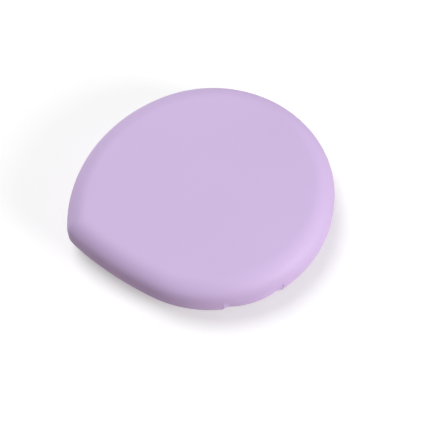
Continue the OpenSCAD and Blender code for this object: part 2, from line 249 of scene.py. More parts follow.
def gridFaces(index):
    # Faces between the rows of a grid of point numbers, whose rows close on themselves.
    right = np.roll(index, -1, axis=1)
    return np.stack([index[:-1], right[:-1], right[1:], index[1:]], -1).reshape(-1, 4).tolist()


def closedGrid(points):
    # A closed part from a grid of rows, with a pole at each end.
    columns = points.shape[1]
    vertices = points.reshape(-1, 3)
    index = np.arange(len(vertices)).reshape(-1, columns)
    faces = gridFaces(index)
    for row, way in ((0, -1), (-1, 1)):
        vertices = np.vstack([vertices, points[row].mean(0)])
        pole = np.full(columns, len(vertices) - 1)
        edge = [index[row], np.roll(index[row], -1)][::way]
        faces += np.stack([*edge, pole], -1).tolist()
    return outward(vertices, faces)


def tube(points):
    # A part from a grid that closes both ways, such as a ring of one cross-section.
    index = np.arange(points[..., 0].size).reshape(points.shape[:2])
    return outward(points.reshape(-1, 3), gridFaces(np.vstack([index, index[:1]])))


def joined(*parts):
    vertices, faces, shift = [], [], 0
    for v, f in parts:
        vertices.append(v)
        faces += [[i + shift for i in face] for face in f]
        shift += len(v)
    return np.vstack(vertices), faces


def faceRows(first, spacing, inner):
    # Insets of the rows across a face: evenly spaced up to the core, then on to a small hub.
    hub, count = inner
    return np.hstack([np.arange(first, core, spacing),
                           np.linspace(core, endRadius - hub, count)])


def plateRows(v, node, upper):
    # Insets and heights of a flat plate: its upper rows, a rounded edge and the lower face.
    low = heights(node)[0]
    grow, fall = quarterRound(5)
    face = faceRows(v["inset"] + v["rowsFrom"], v["rows"], v["inner"])
    inset, z = np.array(upper).T
    return (np.hstack([inset, v["inset"] + v["edge"] * grow, face]),
            np.hstack([z, low + v["edge"] * fall, np.full(len(face), low)]), len(face))


def addPiece(name, mesh, body, slot, node, sharp):
    mesh.shade_smooth()
    mesh.set_sharp_from_angle(angle=math.radians(sharp))
    mesh.materials.clear()
    mesh.materials.append(materials[slot])
    piece = inScene(name, mesh)
    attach(piece, body)
    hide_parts(node)
    print("made", name, len(mesh.vertices), "points")
    return piece


def makePiece(name, part, body, slot, node, sharp=40):
    # A piece from vertices and faces, in place of a CAD node.
    vertices, faces = part
    mesh = bpy.data.meshes.new(name)
    mesh.from_pydata(vertices, [], faces)
    mesh.update()
    return addPiece(name, mesh, body, slot, node, sharp)


softening = {
    "weld": 0.002 * mm,  # points this near to each other become one
    "flat": math.radians(0.4),
    "sharp": 35,  # degrees from which an edge is rounded
    "segments": 2,
}


def softenedCopy(node, name, body, slot, width):
    # A copy of a CAD node with its edges rounded.
    v = softening
    work = bmesh.new()
    work.from_mesh(nodes[node].data)
    bmesh.ops.remove_doubles(work, verts=work.verts, dist=v["weld"])
    bmesh.ops.dissolve_limit(work, angle_limit=v["flat"], verts=work.verts, edges=work.edges)
    mesh = bpy.data.meshes.new(name)
    work.to_mesh(mesh)
    work.free()
    piece = addPiece(name, mesh, body, slot, node, v["sharp"])
    bevel = piece.modifiers.new("round edges", "BEVEL")
    bevel.width, bevel.segments = width, v["segments"]
    bevel.limit_method, bevel.angle_limit = "ANGLE", math.radians(v["sharp"])
    bevel.harden_normals = True
    bevel.use_clamp_overlap = True


def slab(low, high, corner, edge):
    # A box with rounded upright corners and rounded top and bottom edges.
    turns, smallest = 6, 0.02 * mm
    low, high = np.array(low), np.array(high)
    middle, half = (low + high) / 2, (high - low) / 2
    quarter = np.linspace(0, math.pi / 2, turns)
    turn = np.hstack([quarter + i * math.pi / 2 for i in range(4)])
    cornerX = np.repeat([1, -1, -1, 1], turns)
    cornerY = np.repeat([1, 1, -1, -1], turns)
    grow, fall = quarterRound(4)
    inset = np.hstack([edge * fall, edge * grow])
    z = np.hstack([-half[2] + edge * grow, half[2] - edge * fall])
    radius = np.maximum(corner - inset, smallest)[:, None]
    x = cornerX * (half[0] - inset[:, None] - radius) + radius * np.cos(turn)
    y = cornerY * (half[1] - inset[:, None] - radius) + radius * np.sin(turn)
    return closedGrid(np.stack([x, y, z[:, None] * np.ones_like(x)], -1) + middle)


def addNode(tree, kind, links=(), **values):
    node = tree.nodes.new(kind)
    for name, value in values.items():
        if name in node.inputs:
            node.inputs[name].default_value = value
        else:
            setattr(node, name, value)
    for name, source in dict(links).items():
        tree.links.new(source, node.inputs[name])
    return node


def newMaterial(name, values):
    material = bpy.data.materials.new(name)
    material.use_nodes = True
    tree = material.node_tree
    shader = tree.nodes["Principled BSDF"]
    for socket, value in values.items():
        shader.inputs[socket].default_value = value
    place = addNode(tree, "ShaderNodeTexCoord").outputs["Object"]
    return material, tree, shader, place


def noise(tree, place, scale, detail=2.0, roughness=0.5):
    made = addNode(tree, "ShaderNodeTexNoise", {"Vector": place},
                   Scale=scale, Detail=detail, Roughness=roughness)
    return made.outputs["Fac"]


def cells(tree, place, scale):
    made = addNode(tree, "ShaderNodeTexVoronoi", {"Vector": place}, Scale=scale)
    return made.outputs["Distance"]


def spread(tree, source, low, high, fromLow=0.3, fromHigh=0.7):
    limits = {"From Min": fromLow, "From Max": fromHigh, "To Min": low, "To Max": high}
    return addNode(tree, "ShaderNodeMapRange", {"Value": source}, **limits).outputs["Result"]


def mixed(tree, share, first, second):
    made = tree.nodes.new("ShaderNodeMix")
    made.data_type = "RGBA"
    tree.links.new(share, made.inputs["Factor"])
    for socket, colour in zip(made.inputs[6:8], (first, second)):
        if isinstance(colour, tuple):
            socket.default_value = (*colour, 1)
        else:
            tree.links.new(colour, socket)
    return made.outputs[2]


def bumped(tree, shader, layers):
    # Each layer is a height, how strongly it shows and the depth of its relief.
    last = None
    for height, strength, depth in layers:
        made = addNode(tree, "ShaderNodeBump", {"Height": height},
                       Strength=strength, Distance=depth)
        if last is not None:
            tree.links.new(last, made.inputs["Normal"])
        last = made.outputs["Normal"]
    tree.links.new(last, shader.inputs["Normal"])


def shade(colour, factor):
    return tuple(min(c * factor, 1.0) for c in colour)


def stretched(tree, place, stretch, turn=0):
    mapping = addNode(tree, "ShaderNodeMapping", {"Vector": place}, Scale=(stretch, 1, 1),
                      Rotation=(0, 0, turn))
    return mapping.outputs["Vector"]


# In each finish, a noise is its scale, detail and roughness, and a layer of relief is its
# strength, depth and noise. Tints are factors for the colour.
softTouch = {
    "sockets": {"Sheen Weight": 0.03, "Sheen Roughness": 0.45, "Specular IOR Level": 0.25},
    "tints": (0.982, 1.018),
    "tintNoise": (28, 3),
    "roughNoise": (112, 4),
    # The moulding's faint waviness, and the fine grain of the rubbery coat on it
    "relief": ((0.25, 0.02 * mm, 300, 1), (0.5, 0.006 * mm, 5200, 3, 0.6)),
}
moulding = {
    "sockets": {"Coat Roughness": 0.12, "Specular IOR Level": 0.5, "Subsurface Scale": 1.0,
                "Subsurface Radius": (0.9 * mm, 0.8 * mm, 0.7 * mm)},
    "tints": (0.988, 1.012),
    "tintNoise": (60, 3),
    "roughNoise": (2600, 2),
    "relief": ((0.4, 0.01 * mm, 420, 2), (0.4, 0.008 * mm, 2600, 2)),
}
silicone = {
    "sockets": {"Sheen Weight": 0.08, "Specular IOR Level": 0.4, "Subsurface Weight": 0.35,
                "Subsurface Radius": (1.2 * mm, 1.0 * mm, 1.1 * mm), "Subsurface Scale": 1.0},
    "tints": (0.97, 1.02),
    "tintNoise": (900, 4),
    "roughNoise": (900, 4),
    "limits": (0.35, 0.65),  # span of the noise that the tints and roughness cover
    "relief": ((0.35, 0.01 * mm, 3000, 3),),
}
steelFinish = {
    "sockets": {"Metallic": 1.0},
    "stretch": 0.04,
    "tints": (0.9, 1.08),
    "tintNoise": (2400, 3),
    "roughNoise": (2400, 3),
    "relief": ((0.3, 0.004 * mm, 2400, 3),),
}


def makeMaterial(name, finish, colour, rough, sockets=()):
    # A colour that drifts between two tints, with its roughness and relief from noise.
    v = finish
    material, tree, shader, place = newMaterial(name, {**v["sockets"], **dict(sockets)})
    if "stretch" in v:
        place = stretched(tree, place, v["stretch"])
    limits = v.get("limits", ())
    share = spread(tree, noise(tree, place, *v["tintNoise"]), 0, 1, *limits)
    dark, light = (shade(colour, factor) for factor in v["tints"])
    tree.links.new(mixed(tree, share, dark, light), shader.inputs["Base Color"])
    roughness = spread(tree, noise(tree, place, *v["roughNoise"]), *rough, *limits)
    tree.links.new(roughness, shader.inputs["Roughness"])
    bumped(tree, shader, [(noise(tree, place, *pattern), strength, depth)
                          for strength, depth, *pattern in v["relief"]])
    return material


paperFinish = {
    "sockets": {"Roughness": 0.62, "Specular IOR Level": 0.4, "Coat Weight": 0.12,
                "Coat Roughness": 0.35, "Subsurface Weight": 0.15,
                "Subsurface Radius": (0.5 * mm,) * 3, "Subsurface Scale": 1.0},
    "dry": (0.90, 0.875, 0.80),
    "damp": (0.86, 0.80, 0.60),  # the sponge's yellow shows through where the paper is wet
    "blotchNoise": (75, 4, 0.6),
    "blotches": (0.15, 0.8),
    "fibreNoise": (700, 5, 0.65),
    "fibreStretch": 0.18,
    "fibreTurn": 0.5,
    "fibreRelief": (0.5, 0.03 * mm),
    "poreScale": 2300,
    "poreTint": 0.75,
    "specks": (0.10, 0, 0.05, 0.35),  # share at a pore's middle and past its edge, and where
    "poreRelief": (0.3, 0.01 * mm),
}


def paperMaterial(name):
    v = paperFinish
    material, tree, shader, place = newMaterial(name, v["sockets"])
    along = stretched(tree, place, v["fibreStretch"], v["fibreTurn"])
    fibres = noise(tree, along, *v["fibreNoise"])
    blotches = spread(tree, noise(tree, place, *v["blotchNoise"]), *v["blotches"])
    ground = mixed(tree, blotches, v["dry"], v["damp"])
    pores = cells(tree, place, v["poreScale"])
    speck = spread(tree, pores, *v["specks"])
    tree.links.new(mixed(tree, speck, ground, shade(v["damp"], v["poreTint"])),
                   shader.inputs["Base Color"])
    bumped(tree, shader, [(fibres, *v["fibreRelief"]), (pores, *v["poreRelief"])])
    return material


spongeFinish = {
    "sockets": {"Roughness": 0.85, "Sheen Weight": 0.2, "Specular IOR Level": 0.25},
    "light": (0.93, 0.84, 0.45),
    # Painted shade: the darker yellow that the pores' middles take, standing in for the shade
    # inside them
    "deep": (0.62, 0.50, 0.20),
    "poreScale": 900,
    "poreShadeFade": (0.1, 0.6),  # how far from a pore's middle its painted shade fades
    "poreRelief": (0.8, 0.25 * mm),
    "fineScale": 2430,
    "fineRelief": (0.5, 0.1 * mm),
}


def spongeMaterial(name):
    v = spongeFinish
    material, tree, shader, place = newMaterial(name, v["sockets"])
    pores = cells(tree, place, v["poreScale"])
    # Painted shade: each pore's middle is coloured towards the darker yellow, for the shade in its
    # hollow
    depth = spread(tree, pores, 0, 1, *v["poreShadeFade"])
    tree.links.new(mixed(tree, depth, v["deep"], v["light"]), shader.inputs["Base Color"])
    bumped(tree, shader, [(pores, *v["poreRelief"]),
                          (cells(tree, place, v["fineScale"]), *v["fineRelief"])])
    return material


lilac = (0.655, 0.502, 0.792)
# The material of each slot
materials = {
    "soft_lilac": makeMaterial("soft touch coat", softTouch, lilac, (0.50, 0.60)),
    "button_lilac": makeMaterial("soft touch button", softTouch, lilac, (0.46, 0.56)),
    "white_plastic": makeMaterial("satin white moulding", moulding, (0.88, 0.88, 0.87),
                                  (0.30, 0.42)),
    "tray_plastic": makeMaterial("glossy white moulding", moulding, (0.92, 0.92, 0.91),
                                 (0.14, 0.22), {"Coat Weight": 0.4, "Subsurface Weight": 0.1}),
    "washer_plastic": makeMaterial("natural acetal", moulding, (0.80, 0.80, 0.78),
                                   (0.38, 0.5), {"Subsurface Weight": 0.2}),
    "pad_silicone": makeMaterial("lilac silicone", silicone, (0.62, 0.50, 0.72), (0.42, 0.55)),
    "seal_silicone": makeMaterial("clear silicone", silicone, (0.82, 0.80, 0.84), (0.42, 0.55)),
    "steel": makeMaterial("bright steel", steelFinish, (0.60, 0.60, 0.62), (0.22, 0.36)),
    "sponge": spongeMaterial("yellow sponge"),
    "paper": paperMaterial("palette paper"),
}
print("materials made")


# The case is cut away round the hinge and round the push button.
hinge = [j for j in frame["joints"] if j["name"] == "lid_hinge"][0]
hingeY, hingeZ = hinge["pos_m"][1:]
buttonLow, buttonHigh = corners("release_button")
cuts = {
    "bayHalf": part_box("hinge_pin")[1][0] + 0.4 * mm,
    "bayFloor": hingeZ - 2.15 * mm,
    "bayRoof": hingeZ + 3.5 * mm,
    "notchMiddle": (buttonLow[0] + buttonHigh[0]) / 2,
    "notchHalf": (buttonHigh[0] - buttonLow[0]) / 2 - 0.35 * mm,
    "notchFloor": buttonLow[2] - 0.1 * mm,
    "notchRoof": buttonHigh[2] + 0.2 * mm,
    "outerCorner": 0.16 * mm,
    "innerCorner": 0.3 * mm,
    "draft": 0.05 * mm,
    "inside": 0.4 * mm,  # spacing of the columns inside a cut
    "notchStraight": 10 * mm,  # to each side of a cut's middle, the columns run along Y
    "bayStraight": 14.5 * mm,
    "straightFade": 8 * mm,
}


def cutPath(start, stop):
    # x across a cut, with the share of its depth there: round corner, steep wall, round corner,
    # the floor, and the same back.
    v = cuts
    turn = np.linspace(0, math.pi / 2, 6)
    climb = np.linspace(0, 1, 6)[1:-1]
    r, s, d = v["outerCorner"], v["innerCorner"], v["draft"]
    x = np.hstack([-r + r * np.sin(turn), d * climb, d + s * (1 - np.cos(turn))])
    rise = np.hstack([np.stack([r * (1 - np.cos(turn)), 0 * turn]),
                           np.stack([r + 0 * climb, climb]),
                           np.stack([s * (np.sin(turn) - 1), 1 + 0 * turn])])
    first, last = start + d + s, stop - d - s
    floor = np.linspace(first, last, int((last - first) / v["inside"]) + 2)[1:-1]
    full = np.array([[0.0], [1.0]]) * np.ones(len(floor))
    return (np.hstack([start + x, floor, stop - x[::-1]]),
            np.hstack([rise, full, rise[:, ::-1]]))


def cutLevel(rise, base, level):
    # Height along a cut: corner heights are true lengths, and the wall between them is a share.
    way = 1 if level > base else -1
    corner, share = rise
    low = base + way * np.maximum(corner, 0)
    high = level + way * np.minimum(corner, 0)
    wall = np.maximum(corner, 0) == cuts["outerCorner"]
    between = base + way * cuts["outerCorner"]
    steep = between + (level - way * cuts["innerCorner"] - between) * share
    return np.where(wall, steep, np.where(share >= 1, high, low))


def shellColumns(spacing, rim, bayLevel, notchLevel):
    # Columns round a shell, with the rim's height at each.
    v = cuts
    middle, half = v["notchMiddle"], v["notchHalf"]
    notchX, notchRise = cutPath(middle - half, middle + half)
    bayX, bayRise = cutPath(-v["bayHalf"], v["bayHalf"])
    notchPlace, bayPlace = placeOf(notchX, -1), placeOf(bayX, 1)
    fill = np.arange(0, outlineLength, spacing)
    clear = np.ones(len(fill), bool)
    for place in (notchPlace, bayPlace):
        clear &= (fill < place.min() - spacing / 3) | (fill > place.max() + spacing / 3)
    fill = fill[clear]
    places = np.hstack([fill, notchPlace, bayPlace])
    rims = np.hstack([0 * fill + rim, cutLevel(notchRise, rim, notchLevel),
                           cutLevel(bayRise, rim, bayLevel)])
    order = np.argsort(places)
    columns = Columns(places[order])
    fade = v["straightFade"]
    nearSide = 1 - smooth((abs(columns.x0 - middle) - v["notchStraight"]) / fade)
    farSide = 1 - smooth((abs(columns.x0) - v["bayStraight"]) / fade)
    columns.straight = np.where(columns.y0 < 0, nearSide, farSide)
    return columns, rims[order]


def hollow(inset, step, floor):
    # Insets and heights of a shell's inside, from the step in its wall to the floor's middle.
    return [inset, inset, core, hubInset], [step, floor, floor, floor]


lidShape = {
    "wall": 1.4 * mm,
    "shoulderInset": 3.6 * mm,
    "shoulderRise": 4.8 * mm,
    "roof": 1.5 * mm,
    "skirt": 3.3 * mm,
    "round": 6.0 * mm,
    "crown": 0.25 * mm,
    "edge": 0.22 * mm,
    "innerEdge": 0.12 * mm,
    "rowsFrom": 5.3 * mm,  # height above the seam down to which all rows are level
    "spacing": 0.7 * mm,
}


def lidInset(z):
    # The lid's side is straight up to the skirt's height, then a quarter ellipse.
    v = lidShape
    height = lidHigh[2] - v["crown"] - lidLow[2] - v["skirt"]
    up = np.clip((z - lidLow[2] - v["skirt"]) / height, 0, 1)
    return v["round"] * (1 - np.sqrt(1 - up * up))


def lidShellPart():
    v = lidShape
    seam, top = lidLow[2], lidHigh[2]
    columns, rim = shellColumns(v["spacing"], seam, cuts["bayRoof"], cuts["notchRoof"])
    crownInset = np.hstack([np.linspace(hubInset, core, 6)[:-1],
                                 np.linspace(core, v["round"], 18)])
    inward = np.clip((crownInset - v["round"]) / (core - v["round"]), 0, 1)
    crownZ = top - v["crown"] * (1 - inward) ** 2
    height = top - v["crown"] - seam - v["skirt"]
    last = math.asin((v["rowsFrom"] - v["skirt"]) / height)
    turn = np.linspace(math.pi / 2, last, 20)[1:]
    roundZ = seam + v["skirt"] + height * np.sin(turn)
    roundInset = v["round"] * (1 - np.cos(turn))
    share = np.linspace(0, 1, 12)[1:, None]
    sideZ = roundZ[-1] + (rim + v["edge"] - roundZ[-1]) * share
    grow, fall = quarterRound(5)[..., None]
    outerZ = rim + v["edge"] * fall[1:]
    outerInset = lidInset(rim + v["edge"]) + v["edge"] * grow[1:]
    innerZ = rim + v["innerEdge"] * grow
    innerInset = v["wall"] - v["innerEdge"] * fall + 0 * rim
    shoulder, roof = seam + v["shoulderRise"], top - v["roof"]
    wallZ = innerZ[-1] + (shoulder - innerZ[-1]) * np.linspace(0, 1, 4)[1:, None]
    return closedGrid(columns.bands(
        (crownInset, crownZ), (roundInset, roundZ), (lidInset(sideZ), sideZ),
        (outerInset, outerZ), (innerInset, innerZ), (v["wall"] + 0 * wallZ, wallZ),
        hollow(v["shoulderInset"], shoulder, roof)))


makePiece("lidShell", lidShellPart(), "lid", "soft_lilac", "lid_shell")


baseShape = {
    "setback": 0.4 * mm,  # of the base behind the lid's side
    "wallInset": 1.7 * mm,
    "ledgeInset": 4.6 * mm,
    "ledge": 3.8 * mm,
    "floor": 1.8 * mm,
    "round": 8.6 * mm,
    "skirt": 1.0 * mm,
    "padInset": 10.5 * mm,
    "padTop": 0.8 * mm,
    "padEdge": 0.1 * mm,  # chamfer round the foot pad's hollow
    "edge": 0.2 * mm,
    "rowsTo": 3.3 * mm,
    "faceRadius": 22 * mm,  # of the button's face and the recess below it, seen from above
    "faceMiddle": cuts["notchMiddle"] - 0.6 * mm,
    "faceReach": 1.3,  # to each side, as a share of the cut's half width
    "recessSide": 0.88 * mm,
    "recessFade": 0.75,
    "recessDeeper": 0.35 * mm,
    "recessBlend": 2.0 * mm,  # width of its ends
    "spacing": 0.7 * mm,
}


def baseInset(z):
    # The base's side rises in a quarter ellipse from the underside, then goes straight up.
    v = baseShape
    up = np.clip((z - baseLow[2]) / (baseHigh[2] - v["skirt"] - baseLow[2]), 0, 1)
    return v["setback"] + v["round"] * (1 - np.sqrt(1 - (1 - up) ** 2))


def faceY(x, lean):
    # The button's face: a tighter circle than the case's, which it meets at the front, drawn in
    # by how far the face leans there.
    v = baseShape
    reach = cuts["notchHalf"] * v["faceReach"]
    across = np.clip(x - v["faceMiddle"], -reach, reach)
    return v["faceRadius"] - endRadius - np.sqrt((v["faceRadius"] - lean) ** 2 - across ** 2)


def shareInside(x):
    # 1 across the recess and the button, with a soft S curve to 0 at each end.
    v = baseShape
    return smooth((cuts["notchHalf"] - abs(x - cuts["notchMiddle"])) / v["recessBlend"])


def recessed(points):
    # Pushes the base's side back to the recess below the button.
    v = baseShape
    x, y, z = np.moveaxis(points, -1, 0)
    lean, side = baseInset(z), v["recessSide"]
    lean = np.minimum(lean, side) + v["recessFade"] * np.maximum(lean - side, 0)
    push = np.maximum(faceY(x, lean + v["recessDeeper"]) - y, 0)
    points[..., 1] += push * shareInside(x) * (y < 0)
    return points


def baseShellPart():
    v = baseShape
    low, top = baseLow[2], baseHigh[2]
    columns, rim = shellColumns(v["spacing"], top, cuts["bayFloor"], cuts["notchFloor"])
    e = v["padEdge"]
    underInset = [hubInset, core, caseShape["midInset"], v["padInset"] + e, v["padInset"]]
    underZ = [v["padTop"]] * 4 + [v["padTop"] - e]
    rimInset = [v["padInset"], v["padInset"] - e, v["setback"] + v["round"]]
    rimZ = [low + e, low, low]
    height = top - v["skirt"] - low
    turn = np.linspace(0, math.acos(1 - (v["rowsTo"] - low) / height), 20)[1:]
    roundZ = low + height * (1 - np.cos(turn))
    sideZ = roundZ[-1] + (rim - v["edge"] - roundZ[-1]) * np.linspace(0, 1, 10)[1:, None]
    grow, fall = quarterRound(5)[:, 1:, None]
    outerZ = rim - v["edge"] * fall
    outerInset = baseInset(rim - v["edge"]) + v["edge"] * grow
    outer = recessed(columns.bands(
        (baseInset(roundZ), roundZ), (baseInset(sideZ), sideZ), (outerInset, outerZ)))
    wallZ = rim + (v["ledge"] - rim) * np.linspace(0, 1, 4)[:, None]
    under = columns.bands((underInset, underZ), (rimInset, rimZ))
    inner = columns.bands((v["wallInset"] + 0 * wallZ, wallZ),
                          hollow(v["ledgeInset"], v["ledge"], v["floor"]))
    return closedGrid(np.vstack([under, outer, inner]))


makePiece("baseShell", baseShellPart(), "base", "soft_lilac", "base_shell")


buttonShape = {
    "corner": 0.4 * mm,
    "cornerSmallest": 0.05 * mm,
    "edge": 0.16 * mm,
    "lean": 0.65 * mm,  # at the lower edge
    "leanPower": 1.4,
    "back": 2.75 * mm,  # behind the case's front
    "backEdge": 0.02 * mm,
    "faceHub": 0.04,  # size of the face's smallest ring, as a share of the face
    "backHub": (0.1 * mm, 0.3),  # inset and share of the last ring of the back
    "gap": 0.12 * mm,
    "flushInset": 0.1 * mm,  # of the head's ends, behind the case's side
    "thinnest": 0.05 * mm,
    "armWidth": 1.6 * mm,
    "armAt": 5.2 * mm,
    "armHeight": 1.0 * mm,
    "armOverlap": 0.3 * mm,  # into the head
    "armRound": (0.1 * mm, 0.08 * mm),  # upright corners and other edges, as for the bar
    "barHalf": 9.0 * mm,
    "barDepth": 0.75 * mm,
    "barRound": (0.2 * mm, 0.1 * mm),
}
buttonBack = buttonShape["back"] - endRadius


def buttonRing(inset, shrink=1.0):
    # A rounded rectangle seen from the front, drawn in by an inset, then shrunk to its middle.
    v = buttonShape
    quarter = np.linspace(0, math.pi / 2, 8)
    half = np.array([cuts["notchHalf"] - v["gap"], (buttonHigh[2] - buttonLow[2]) / 2])
    radius = max(v["corner"] - inset, v["cornerSmallest"])
    straight = half - inset - radius
    rise = np.linspace(1, -1, 12)[1:-1] * straight[1]
    level = np.linspace(-1, 1, 48)[1:-1] * straight[0]
    sine, cosine = radius * np.sin(quarter), radius * np.cos(quarter)
    x = np.hstack([level, straight[0] + sine, 0 * rise + straight[0] + radius,
                        straight[0] + cosine])
    z = np.hstack([0 * level + straight[1] + radius, straight[1] + cosine,
                        rise, -straight[1] - sine])
    x, z = np.hstack([x, -x]), np.hstack([z, -z])
    return cuts["notchMiddle"] + x * shrink, (buttonLow[2] + buttonHigh[2]) / 2 + z * shrink


def buttonHead():
    # Rings that grow from the middle of the face and run back along the side. The back is flat.
    v = buttonShape
    rows = [(*buttonRing(v["edge"], shrink), 0)
            for shrink in np.linspace(v["faceHub"], 1, 14)]
    for roll in np.linspace(math.pi / 2, 0, 6)[1:]:
        depth = v["edge"] * (1 - math.sin(roll))
        rows.append((*buttonRing(v["edge"] * (1 - math.cos(roll))), depth))
    points = []
    for x, z, depth in rows:
        down = np.clip((baseHigh[2] - z) / (baseHigh[2] - buttonLow[2]), 0, 1)
        lean = v["lean"] * down ** v["leanPower"]
        flush = -np.sqrt((endRadius - v["flushInset"] - lean) ** 2 - x ** 2)
        y = flush + (faceY(x, lean + v["flushInset"]) - flush) * shareInside(x) + depth
        points.append(np.stack([x, np.minimum(y, buttonBack - v["thinnest"]), z], -1))
    for (x, z), y in ((buttonRing(0), buttonBack - v["backEdge"]),
                      (buttonRing(v["backEdge"]), buttonBack),
                      (buttonRing(*v["backHub"]), buttonBack)):
        points.append(np.stack([x, 0 * x + y, z], -1))
    return closedGrid(np.array(points))


def buttonPart():
    # The head, with two arms that run back to the catch bar.
    v = buttonShape
    low, top = buttonLow[2], buttonLow[2] + v["armHeight"]
    middle, back = cuts["notchMiddle"], buttonHigh[1]
    front, half = buttonBack - v["armOverlap"], v["armWidth"] / 2
    arms = [slab((x - half, front, low), (x + half, back, top), *v["armRound"])
            for x in (middle - v["armAt"], middle + v["armAt"])]
    bar = slab((middle - v["barHalf"], back - v["barDepth"], low),
               (middle + v["barHalf"], back, top), *v["barRound"])
    return joined(buttonHead(), bar, *arms)


makePiece("releaseButton", buttonPart(), "button", "button_lilac", "release_button")
print("outer case made")


def sideSpots(v):
    # Four spots on the ring at an inset: two on the round end and one on each long side.
    columns = Columns([0.0])
    columns.arc = np.array([0, 0, 1, 3])
    ends = [(side * v["endTurn"] - nearTurn) / (farTurn - nearTurn) for side in (-1, 1)]
    columns.part = np.array([*ends, 1 - v["farShare"], v["nearShare"]])
    columns.x0, columns.y0, columns.straight = np.zeros((3, 4))
    x, y = columns.ring(np.array([[v["inset"]]]))
    return np.stack([x[0], y[0]], -1)


def turned(profile, spot, count=48, relief=None):
    # A profile of radius and height, turned about an upright line. Relief moves points of it up.
    profile = np.array(profile, float)
    turn = np.arange(count) * 2 * math.pi / count
    x, y = profile[:, :1] * np.cos(turn), profile[:, :1] * np.sin(turn)
    z = profile[:, 1:] + 0 * x
    if relief is not None:
        z = z + relief(x, y, z)
    return closedGrid(np.stack([x + spot[0], y + spot[1], z], -1))


def roundedProfile(*bends):
    # A profile from its bends, each a radius, a height and the reach of the curve that rounds it.
    bends = np.array(bends, float)
    points = []
    share = np.linspace(0, 1, 5)[:, None]
    for i, (*here, reach) in enumerate(bends):
        here = np.array(here)
        if reach == 0 or i in (0, len(bends) - 1):
            points.append(here[None])
            continue
        before, after = bends[i - 1, :2] - here, bends[i + 1, :2] - here
        start = here + before / np.linalg.norm(before) * reach
        stop = here + after / np.linalg.norm(after) * reach
        points.append(start * (1 - share) ** 2 + 2 * here * share * (1 - share) + stop * share ** 2)
    return np.vstack(points)


# Pieces that follow their solids, with the width of their rounded edges
softened = {
    "base_frame": ("baseFrame", "base", "white_plastic", 0.12 * mm),
    "lid_frame": ("lidFrame", "lid", "white_plastic", 0.12 * mm),
    "latch_cover": ("latchCover", "base", "white_plastic", 0.08 * mm),
    "sponge_tray": ("spongeTray", "base", "tray_plastic", 0.1 * mm),
    "latch_hook": ("latchHook", "lid", "washer_plastic", 0.08 * mm),
    "hinge_washers": ("hingeWashers", "base", "washer_plastic", 0.05 * mm),
    "button_spring": ("buttonSpring", "button", "steel", 0.03 * mm),
}
for node, values in softened.items():
    softenedCopy(node, *values)


screws = {
    "inset": 3.5 * mm,
    "endTurn": math.radians(38),
    "farShare": 0.4,
    "nearShare": 0.55,
    "head": 1.25 * mm,
    "headHeight": 0.7 * mm,
    "crown": 0.12 * mm,  # height of the head's dome, and width of the rim round it
    "shank": 0.6 * mm,
    "tip": (0.1 * mm, 0.2 * mm),  # radius of its flat end and rounding of its edge
    "seatRound": 0.08 * mm,
    "headRound": 0.15 * mm,
    "hub": 0.03,  # share of the dome's radius at its smallest ring
    "rimLift": 0.01 * mm,
    "columns": 72,
    "turns": (0.4, 0.7),  # of the first one's cross, and from each to the next
}
crossShape = {
    "reach": 0.72 * mm,
    "half": 0.17 * mm,
    "depth": 0.42 * mm,
    "armEdge": (1.25, 0.5),  # where an arm's wall ends and how wide it is, in half widths
    "endFade": 0.3 * mm,
    "topBand": 0.3 * mm,  # only points this near to the head's top move
    "rise": 0.45,  # share of the depth lost at the arms' ends
}


def crossRecess(x, y, z):
    # A cross pressed into the head: deep at the middle, with its arms running out to nothing.
    v = crossShape
    away = np.hypot(x, y)
    arm = np.minimum(abs(x), abs(y))
    foot, wall = v["armEdge"]
    inside = smooth((v["half"] * foot - arm) / (v["half"] * wall))
    inside = inside * smooth((v["reach"] - away) / v["endFade"])
    onTop = z > heights("frame_screws")[1] - v["topBand"]
    return -v["depth"] * inside * onTop * (1 - v["rise"] * away / v["reach"])


def screwPart(spot, turn):
    v = screws
    low, top = heights("frame_screws")
    seat, crown = top - v["headHeight"], top - v["crown"]
    radii = np.linspace(1, v["hub"], 28) * (v["head"] - v["crown"])
    cap = np.stack([radii, crown + v["crown"] * (1 - (radii / v["head"]) ** 2)], -1)
    tip, tipRound = v["tip"]
    shank = roundedProfile((tip, low, 0), (v["shank"], low, tipRound), (v["shank"], seat, 0),
                           (v["head"], seat, v["seatRound"]), (v["head"], crown, v["headRound"]),
                           (v["head"] - v["crown"], crown + v["rimLift"], 0))
    c, s = math.cos(turn), math.sin(turn)
    return turned(np.vstack([shank, cap[1:]]), spot, v["columns"],
                  lambda x, y, z: crossRecess(c * x + s * y, c * y - s * x, z))


first, step = screws["turns"]
screwParts = [screwPart(spot, first + step * i) for i, spot in enumerate(sideSpots(screws))]
makePiece("frameScrews", joined(*screwParts), "base", "steel", "frame_screws", sharp=30)

bumpers = {
    "inset": 3.5 * mm,
    "endTurn": math.radians(10),
    "farShare": 0.12,
    "nearShare": 0.2,
    # Radius, height above the foot and reach of the rounding, at each bend below the stem's top
    "bends": np.array([(0.02, 0, 0), (0.405, 0, 0.15), (0.9, 0.45, 0.25), (0.9, 1.05, 0),
                       (0.45, 1.05, 0)]) * mm,
    "stemRound": 0.1 * mm,
}


def bumperPart(spot):
    v = bumpers
    low, top = heights("lid_bumpers")
    bends = v["bends"] + (0, low, 0)
    stem, hub = bends[-1, 0], bends[0, 0]
    return turned(roundedProfile(*bends, (stem, top, v["stemRound"]), (hub, top, 0)), spot)


makePiece("lidBumpers", joined(*[bumperPart(spot) for spot in sideSpots(bumpers)]), "lid",
          "seal_silicone", "lid_bumpers")


def ringPart(profile, spacing, relief=None):
    # A cross-section of insets and heights, carried round the outline.
    profile = np.array(profile, float)
    points = evenColumns(spacing).surface(profile[:, 0], profile[:, 1])
    if relief is not None:
        points = relief(points)
    return tube(points)


sealRing = {
    "inset": 5.65 * mm,
    "width": 0.8 * mm,
    "domeFrom": 0.7 * mm,
    "foot": 0.1 * mm,  # chamfer at its lower edges
    "spacing": 0.7 * mm,
}


